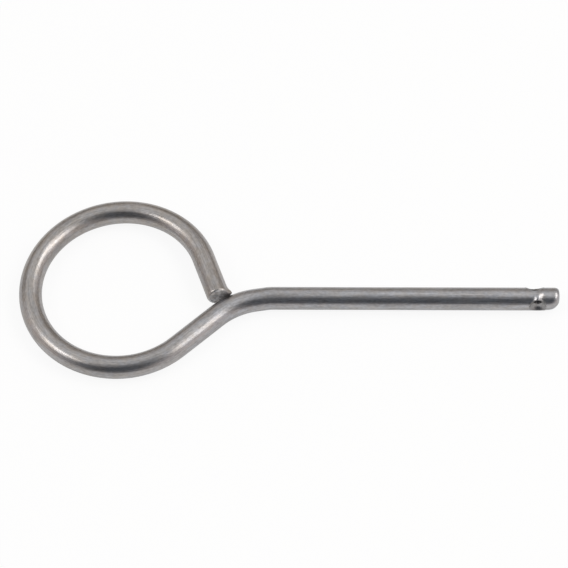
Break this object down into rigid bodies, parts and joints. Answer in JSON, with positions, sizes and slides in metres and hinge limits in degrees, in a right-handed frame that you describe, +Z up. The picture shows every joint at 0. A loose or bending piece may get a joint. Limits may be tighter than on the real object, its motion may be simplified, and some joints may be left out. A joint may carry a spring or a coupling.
{
  "type": "extinguisher safety pin",
  "caption": "Ring pull pin bent from one round stainless wire: closed finger ring, offset neck and a straight shank with a crimped tip.",
  "frame": {"origin": "on the straight shank's axis, where the shank meets the first slight bend of the neck", "axes": "+X along the shank to its crimped tip, with the finger ring at -X; +Z up, square to the plane of the ring, as the pin lies"},
  "size_m": [0.083, 0.0315, 0.0044],
  "materials": {
    "stainless_wire": "satin, drawn wire"
  },
  "bodies": {
    "root": {"ring_pin": "stainless_wire"}
  },
  "joints": []
}
